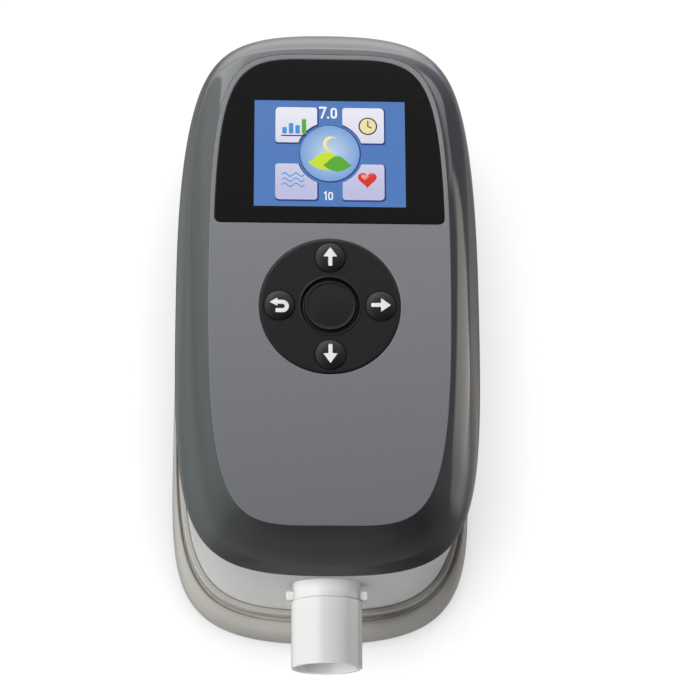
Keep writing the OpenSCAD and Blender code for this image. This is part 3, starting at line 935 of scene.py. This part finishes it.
def glyph(name, pts, cx, cy, body, lift=.03):
    """White print laid over a domed button."""
    bm = bmesh.new()
    vs = [bm.verts.new((x, y, 0)) for x, y in pts]
    f = bm.faces.new(vs)
    bm.normal_update()
    bmesh.ops.triangulate(bm, faces=[f])
    g = .45
    for ax in range(2):
        for i in range(-8, 9):
            co, no = [0, 0, 0], [0, 0, 0]
            co[ax], no[ax] = i * g, 1
            geom = bm.verts[:] + bm.edges[:] + bm.faces[:]
            bmesh.ops.bisect_plane(bm, geom=geom, plane_co=co, plane_no=no, dist=1e-6)
    bmesh.ops.remove_doubles(bm, verts=bm.verts, dist=1e-5)
    top_faces = bm.faces[:]
    res = bmesh.ops.extrude_face_region(bm, geom=top_faces)
    up_v = [v for v in res["geom"] if isinstance(v, bmesh.types.BMVert)]
    up_set = set(up_v)
    for v in bm.verts:
        q = math.hypot(v.co.x, v.co.y)
        base = soft_dome(q)
        v.co.z = base + (lift if v in up_set else -.12)
    bmesh.ops.recalc_face_normals(bm, faces=bm.faces)
    me = bpy.data.meshes.new(name)
    bmesh.ops.scale(bm, vec=(MM, MM, MM), verts=bm.verts)
    bmesh.ops.transform(bm, matrix=PANEL_M @ Matrix.Translation((cx * MM, cy * MM, 0)), verts=bm.verts)
    bm.to_mesh(me)
    bm.free()
    me.materials.append(ink.m)
    ob = bpy.data.objects.new(name, me)
    scene.collection.objects.link(ob)
    smooth_by_angle(ob, 40)
    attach(ob, body)
    return ob


def make_buttons():
    spots = {"right_button": (15.7, 0), "up_button": (0, 15.7), "back_button": (-15.7, 0), "down_button": (0, -15.7)}
    for name, (x, y) in spots.items():
        ob = lathe_panel(name + "_cap", button_profile(), key_soft.m, x, y, 96)
        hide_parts(name)
        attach(ob, name)
    ar = arrow()
    turn = lambda p, a: [(x * math.cos(a) - y * math.sin(a), x * math.sin(a) + y * math.cos(a)) for x, y in p]
    glyph("right_mark", ar, 15.7, 0, "right_button")
    glyph("up_mark", turn(ar, math.pi / 2), 0, 15.7, "up_button")
    glyph("down_mark", turn(ar, -math.pi / 2), 0, -15.7, "down_button")
    glyph("back_mark", [(x - .05, y) for x, y in return_arrow()], -15.7, 0, "back_button")
    prof = [(.001, -2.45), (3, -2.45), (3, -1.9), (9.6, -1.9), (9.6, -1.25), (9.0, -1.25), (9.0, -.72), (8.95, -.66), (8.2, -.62),
            (8.02, -.55), (7.92, -.35), (7.9, 0)]
    for a in range(0, 91, 10):
        prof.append((7.9 - .3 + .3 * math.cos(math.radians(a)), .50 - .3 + .3 * math.sin(math.radians(a))))
    prof += [(7.45, .47), (7.3, .42)]
    for i in range(1, 13):
        q = 7.2 * (1 - i / 12)
        prof.append((max(q, .001), .40 + .18 * (1 - (q / 7.2) ** 2)))
    ob = lathe_panel("start_button_cap", prof, key_disc.m, 0, 0, 128)
    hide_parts("start_button")
    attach(ob, "start_button")


make_disc()
make_buttons()


# ----------------------------------------------------------------- white body
def make_body():
    prof = [(level(BODY, 17, 0, 2.4), .2), (level(BODY, 17), .3), (level(BODY, 77), .3), (level(BODY, 77, 0, 1.9), 0),
            (level(BODY, 79.3, 0, 1.9), .3), (level(BODY, 79.3, 0, 3.4), .3), (level(BODY, 74, 0, 3.4), .2), (level(BODY, 74, 0, 2.4), .2)]
    lv = fillet(prof, closed=True, steps=3)
    ob = swept("body_wall", lv, white_satin.m, n=56)
    bay = block("bay", (-21.5, 86, 27.5), (21.5, 98.0, 68.5))
    boolean(ob, bay, "UNION")
    for s in (-1, 1):
        x0, x1 = (20, 33) if s > 0 else (-33, -20)
        t = block("tower", (x0, 80, 31), (x1, 89.6, 45))
        boolean(ob, t, "UNION")
    boolean(ob, block("cut", (-19.3, 88, 29.5), (19.3, 110, 66.5), bevel=.5, segs=2), "DIFFERENCE")
    for s in (-1, 1):
        x0, x1 = (22, 31) if s > 0 else (-31, -22)
        boolean(ob, block("cut", (x0, 78, 33), (x1, 110, 43), bevel=.4, segs=2), "DIFFERENCE")
    for i in range(7):
        boolean(ob, block("cut", (-17, 84, 33 + i * 4.6), (17, 89, 35.6 + i * 4.6)), "DIFFERENCE")
    bore = lathe("cut", [(.001, -95), (10.7, -95), (10.7, -70), (.001, -70)], None, (0, 0, 60), "Y", 96, closed=False)
    b = bmesh.new()
    b.from_mesh(bore.data)
    bmesh.ops.remove_doubles(b, verts=b.verts, dist=3e-6)
    bmesh.ops.recalc_face_normals(b, faces=b.faces)
    b.to_mesh(bore.data)
    b.free()
    boolean(ob, bore, "DIFFERENCE")
    smooth_by_angle(ob, 32)
    ob.data.materials.clear()
    ob.data.materials.append(white_satin.m)
    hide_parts("body_shell")
    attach(ob, "main_unit")


make_body()


def make_filter_cover():
    m = Matrix(((1, 0, 0, 0), (0, 0, 1, 96.85 * MM), (0, 1, 0, 0), (0, 0, 0, 1)))
    slots = [round_rect(-15, 37 + i * 4.4, 15, 39.2 + i * 4.4, 1.0, 5)[::-1] for i in range(6)]
    a = plate("filter_plate", [round_rect(-18.9, 31.6, 18.9, 66.1, 1.4, 5)] + slots, -1.05, 1.05, white_satin.m, .3, m)
    b = lathe("filter_barrel", round2([(.001, -18.8, 0), (1.9, -18.8, .3), (1.9, 18.8, .3), (.001, 18.8, 0)], closed=False), white_satin.m,
              (0, 96, 31.6), "X", 32, closed=False)
    c = lathe("filter_pins", round2([(.001, -20.6, 0), (1.2, -20.6, .2), (1.2, 20.6, .2), (.001, 20.6, 0)], closed=False), white_satin.m,
              (0, 96, 31.6), "X", 24, closed=False)
    d = block("filter_tab", (-6, 97.6, 62.0), (6, 98.6, 64.2), white_satin.m, .4)
    ob = join([a, b, c, d], "filter_cover_plate")
    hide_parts("filter_cover")
    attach(ob, "filter_door")


make_filter_cover()


# ----------------------------------------------------------------- outlet
def make_outlet():
    prof = round2([(11.0, -106, .28), (11.03, -96, 0), (11.06, -85.9, .05), (11.06, -85.4, .3), (8.6, -85.38, .1), (8.6, -74.3, .3),
                   (7.1, -74.3, .3), (7.1, -87.6, .2), (9.5, -88.6, .2), (9.6, -106, .45)], steps=5)
    tube = lathe("hose_connector", prof, white_gloss.m, (0, 0, 60), "Y", 144)
    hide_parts("outlet_tube")
    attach(tube, "hose_adapter")
    col = round2([(10.6, -85.3, .3), (10.6, -76.2, 0), (12.6, -76.2, .3), (12.6, -74.1, .3), (8.65, -74.1, .3), (8.65, -85.3, .25)], steps=5)
    c = lathe("socket_ring", col, white_gloss.m, (0, 0, 60), "Y", 144)
    lugs = []
    for s in (-1, 1):
        x0, x1 = (10.2, 12.7) if s > 0 else (-12.7, -10.2)
        lugs.append(block("lug", (x0, -85.0, 57), (x1, -82.2, 63), white_gloss.m, .5, segs=4))
    ob = join([c] + lugs, "outlet_socket")
    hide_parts("outlet_collar")
    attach(ob, "main_unit")
    for o in (tube, ob):
        o.visible_glossy = False


make_outlet()


# ----------------------------------------------------------------- reservoir
def make_reservoir():
    b = lambda z, d, r: (level(BODY, z, 0, d), r)
    g = lambda z, d, r: (level(BASE, z, 0, d), r)

    def within(z, d, r):
        o, skirt = level(BODY, z, 0, -d), level(BASE, z, 0, 3.7)
        o[0], o[1], o[3] = min(o[0], skirt[0]), max(o[1], skirt[1]), min(o[3], skirt[3])
        return o, r

    def land(z, f, r):
        return level(BASE, z) * (1 - f) + level(BODY, z, 0, -1.8) * f, r

    prof = [b(1.5, 2.2, 0), b(10.8, 1.6, 1.0), within(11.6, 2.3, .5), within(14.2, 2.6, .5), g(14.0, 3.2, 1.0), g(11.6, 2.4, .8),
            g(1.0, 2.2, .3), g(1.0, .7, .4), g(2.0, .1, .5), g(4.5, 0, 1.5), g(8.5, .15, 2.0), g(11.8, .6, 1.6),
            land(14.4, .23, 1.2), land(15.9, .42, .9), land(16.7, .56, .5), land(16.6, .73, .4), land(15.4, .80, .4), land(15.3, .96, .3),
            b(19.4, -1.8, .3), b(20, -1.5, .25),
            b(20, -.16, .08), b(19.4, -.07, .05), b(13, -.07, .05), b(13, 3.4, .4), b(5.0, 4.2, 1.2), b(3.5, 5.4, 0)]
    ob = swept("water_tub", fillet(prof, closed=False, steps=4), smoke.m, closed=False, n=56, cap_first=True, cap_last=True)
    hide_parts("reservoir")
    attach(ob, "base")


make_reservoir()


def make_feet():
    obs = []
    for x in (-30, 30):
        for y in (-50, 76):
            p = round2([(.001, 0, 0), (6, 0, .5), (6, 1.5, .1), (.001, 1.5, 0)], closed=False, steps=5)
            p = [(.001, .25), (3.2, .25), (3.6, 0)] + p[1:]
            obs.append(lathe("foot", p, rubber.m, (x, y, 0), "Z", 48, closed=False))
    ob = join(obs, "rubber_pads")
    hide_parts("rubber_feet")
    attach(ob, "base")


make_feet()

# ----------------------------------------------------------------- carried-over CAD pieces
CAD_LOOKS = {
    "tank_seal": silicone, "bottom_cover": moulded, "panel_frame": moulded, "display_board": pcb, "button_switches": steel,
    "main_board": pcb, "ribbon_cable": flat_cable, "speaker": moulded, "pressure_sensor": moulded, "sensor_tube": silicone,
    "blower_base": moulded, "blower_cover": moulded, "blower_motor": steel, "shaft_bearings": steel, "motor_shaft": steel,
    "impeller": white_gloss, "blower_mounts": rubber, "motor_cable": flat_cable, "inlet_muffler": foam_m, "filter_foam": foam_m,
    "air_duct": silicone, "humidifier_head": white_gloss, "heater_plate": alu, "wick": felt_m, "outlet_seal": rubber,
    "dc_inlet": moulded, "usb_port": steel, "case_screws": steel, "cap_screws": steel, "board_screws": steel,
}
for name, mat in CAD_LOOKS.items():
    o = nodes[name]
    if not o.material_slots:
        o.data.materials.append(mat.m)
    for s in o.material_slots:
        s.material = mat.m

# ----------------------------------------------------------------- floor and light
def make_stage():
    me = bpy.data.meshes.new("floor")
    me.from_pydata([(-6, -6, 0), (6, -6, 0), (6, 6, 0), (-6, 6, 0)], [], [(0, 1, 2, 3)])
    ob = bpy.data.objects.new("floor", me)
    scene.collection.objects.link(ob)
    m = Mat("floor_white", (.12, .12, .12), .9, Specular_IOR_Level=.1, Emission_Color=(1, 1, 1, 1))
    m.vary(3, .004)
    # painted contact shadow: the floor's glow dims only where something stands close by
    ao = m.node("ShaderNodeAmbientOcclusion")
    ao.samples = 8
    ao.inputs["Distance"].default_value = .040
    glow = m.node("ShaderNodeMapRange")
    glow.inputs["From Min"].default_value = .25
    glow.inputs["From Max"].default_value = .93
    glow.inputs["To Min"].default_value = .45
    glow.inputs["To Max"].default_value = .985
    m.link(ao.outputs["AO"], glow.inputs["Value"])
    m.link(glow.outputs["Result"], m.b.inputs["Emission Strength"])
    me.materials.append(m.m)
    ob.visible_glossy = False


def sun(name, az, el, power, angle, color=(1, 1, 1)):
    """A soft light from a direction. It lights matt colour only; the gloss sees the surroundings."""
    l = bpy.data.lights.new(name, "SUN")
    l.energy = power * math.pi
    l.angle = math.radians(angle)
    l.color = color
    ob = bpy.data.objects.new(name, l)
    scene.collection.objects.link(ob)
    a, e = math.radians(az), math.radians(el)
    d = Vector((math.cos(a) * math.cos(e), math.sin(a) * math.cos(e), math.sin(e)))
    ob.rotation_mode = "QUATERNION"
    ob.rotation_quaternion = d.to_track_quat("Z", "Y")
    ob.location = d
    ob.visible_glossy = False
    return ob


make_stage()
sun("key", -169, 59, .98, 36)
sun("front_fill", -104, 24, .29, 60)


def surroundings():
    """A plain studio as a function of direction: bright behind and to the left, dim overhead and in front."""
    high = [(-180, 2.45), (-158, 1.3), (-143, .7), (-128, .56), (-113, .36), (-98, .26), (-83, .2), (-68, .08), (-45, .06), (-12, .5),
            (60, 1.6), (70, 2.6), (84, 3.3), (107, 3.6), (111, 5.0), (128, 5.6), (130.5, 2.8), (157, 2.5), (180, 2.45)]
    mid = [(-180, 1.75), (-158, 1.1), (-143, .66), (-113, .52), (-90, .46), (-68, .21), (-50, .13), (-35, .13), (-23, .26), (-8, .5),
           (60, 1.6), (69, 2.4), (84, 2.7), (103, 3.3), (109, 4.5), (128, 5.0), (131, 2.35), (157, 1.9), (180, 1.75)]
    low = [(-180, 1.35), (-158, 1.15), (-143, .72), (-113, .68), (-98, .76), (-83, .62), (-68, .48), (-50, .3), (-35, .3), (-8, .42),
           (30, .72), (45, .75), (60, 1.2), (76, 2.4), (84, 2.5), (105, 2.35), (130, 2.1), (145, 1.8), (165, 1.3), (180, 1.35)]
    deep = [(-180, .64), (-158, .62), (-143, .42), (-128, .27), (-113, .26), (-96, .34), (-84, .34), (-72, .14), (-53, .08), (-38, .14),
            (-23, .25), (-8, .42), (7, .6), (22, .7), (32, .4), (45, .25), (60, .4), (75, .72), (90, .72), (105, .45), (115, .32),
            (130, .38), (150, .58), (165, .66), (180, .64)]
    # right of the unit hangs a dark cloth; a slanting strip of light passes over it
    cloth = [(-12, .5), (5, .6), (17, .68), (35, .75), (50, 1.25), (61, 1.6), (72, 2.6)]
    strip = [(-12, .8), (-2, 1.3), (4, 1.45), (9, 2.15), (16, 2.8), (20, 2.9), (24, 2.9), (37, 2.5), (44, 3.2), (57, 4.0), (72, 3.0)]
    strip_top = [(-12, -14), (0, -4), (4, 2), (10, 6.5), (14, 11), (16.5, 15), (19, 20.5), (23, 30), (29, 42.5), (40, 50), (60, 56)]
    strip_foot = [(15, -40), (16.6, -24), (17.4, -12), (18.4, 3), (21.2, 18), (24, 28), (27.5, 37), (34, 42.5), (41, 39.5), (53, 43), (60, 47)]
    tint = {"left": (.93, 1.0, .99), "right": (1.0, .96, .925), "rear": (.97, .98, 1.0), "front": (1, 1, 1)}
    world = bpy.data.worlds.new("world")
    scene.world = world
    world.use_nodes = True
    t = world.node_tree
    new, link = t.nodes.new, t.links.new
    bg = t.nodes["Background"]
    tc = new("ShaderNodeTexCoord")
    nv = new("ShaderNodeVectorMath")
    nv.operation = "NORMALIZE"
    link(tc.outputs["Generated"], nv.inputs[0])
    sep = new("ShaderNodeSeparateXYZ")
    link(nv.outputs[0], sep.inputs[0])
    at2 = new("ShaderNodeMath")
    at2.operation = "ARCTAN2"
    link(sep.outputs["Y"], at2.inputs[0])
    link(sep.outputs["X"], at2.inputs[1])
    az = new("ShaderNodeMath")
    az.operation = "MULTIPLY_ADD"
    az.inputs[1].default_value = 1 / (2 * math.pi)
    az.inputs[2].default_value = .5
    link(at2.outputs[0], az.inputs[0])
    asn = new("ShaderNodeMath")
    asn.operation = "ARCSINE"
    link(sep.outputs["Z"], asn.inputs[0])
    el = new("ShaderNodeMath")
    el.operation = "MULTIPLY"
    el.inputs[1].default_value = 180 / math.pi
    link(asn.outputs[0], el.inputs[0])

    def side(a):
        w = {"left": max(0, -math.cos(math.radians(a))), "right": max(0, math.cos(math.radians(a))),
             "rear": max(0, math.sin(math.radians(a))), "front": max(0, -math.sin(math.radians(a)))}
        w = {k: v * v for k, v in w.items()}
        tot = sum(w.values())
        return [sum(w[k] * tint[k][i] for k in w) / tot for i in range(3)]

    def ramp(stops, cast=(1, 1, 1)):
        r = new("ShaderNodeValToRGB")
        e = r.color_ramp.elements
        while len(e) < len(stops):
            e.new(.5)
        for k, (a, v) in zip(e, stops):
            k.position = (a + 180) / 360
            k.color = (*[v / 8 * c * q for c, q in zip(side(a), cast)], 1)
        link(az.outputs[0], r.inputs["Fac"])
        return r.outputs["Color"]

    def mix(a, b, lo, hi):
        mr = new("ShaderNodeMapRange")
        mr.interpolation_type = "SMOOTHSTEP"
        mr.inputs["From Min"].default_value = lo
        mr.inputs["From Max"].default_value = hi
        link(el.outputs[0], mr.inputs["Value"])
        m = new("ShaderNodeMix")
        m.data_type = "RGBA"
        link(mr.outputs["Result"], m.inputs[0])
        for v, sock in ((a, m.inputs[6]), (b, m.inputs[7])):
            if isinstance(v, tuple):
                sock.default_value = v
            else:
                link(v, sock)
        return m.outputs[2]

    c = mix(ramp(deep), ramp(low), -46, -16)
    c = mix(c, ramp(mid), -8, 14)
    c = mix(c, ramp(high), 14, 38)

    def number(stops):
        """A height that follows the azimuth, in degrees."""
        r = new("ShaderNodeValToRGB")
        e = r.color_ramp.elements
        while len(e) < len(stops):
            e.new(.5)
        for k, (a, v) in zip(e, stops):
            k.position = (a + 180) / 360
            k.color = (*[(v + 90) / 180] * 3, 1)
        link(az.outputs[0], r.inputs["Fac"])
        m = new("ShaderNodeMath")
        m.operation = "MULTIPLY_ADD"
        link(r.outputs["Color"], m.inputs[0])
        m.inputs[1].default_value = 180
        m.inputs[2].default_value = -90
        return m.outputs[0]

    def math2(op, a, b):
        m = new("ShaderNodeMath")
        m.operation = op
        for v, sock in ((a, m.inputs[0]), (b, m.inputs[1])):
            if isinstance(v, (int, float)):
                sock.default_value = v
            else:
                link(v, sock)
        return m.outputs[0]

    def step(v, lo, hi):
        mr = new("ShaderNodeMapRange")
        mr.interpolation_type = "SMOOTHSTEP"
        mr.inputs["From Min"].default_value = lo
        mr.inputs["From Max"].default_value = hi
        link(v, mr.inputs["Value"])
        return mr.outputs["Result"]

    def blend(fac, a, b):
        m = new("ShaderNodeMix")
        m.data_type = "RGBA"
        link(fac, m.inputs[0])
        link(a, m.inputs[6])
        link(b, m.inputs[7])
        return m.outputs[2]

    e_, a_ = el.outputs[0], math2("MULTIPLY_ADD", az.outputs[0], 360)
    a_.node.inputs[2].default_value = -180
    above = step(math2("SUBTRACT", e_, number(strip_foot)), -1.2, 1.2)
    below = step(math2("SUBTRACT", number(strip_top), e_), -1.5, 3.0)
    right = blend(math2("MULTIPLY", above, below), ramp(cloth, (.98, 1.0, 1.19)), ramp(strip))
    sector = math2("MULTIPLY", step(a_, -14, -4), math2("SUBTRACT", 1.0, step(a_, 60, 70)))
    sector = math2("MULTIPLY", sector, step(e_, -36, -24))
    c = blend(sector, c, right)
    c = mix(c, (.28 / 8, .28 / 8, .28 / 8, 1), 54, 68)
    c = mix(c, (.12 / 8, .12 / 8, .12 / 8, 1), 68, 80)
    c = mix((.015, .015, .015, 1), c, -80, -50)
    link(c, bg.inputs["Color"])
    bg.inputs["Strength"].default_value = 8
    world.cycles_visibility.diffuse = False


surroundings()

scene.view_settings.view_transform = "Standard"
scene.view_settings.look = "None"
scene.view_settings.exposure = 0
scene.view_settings.gamma = 1
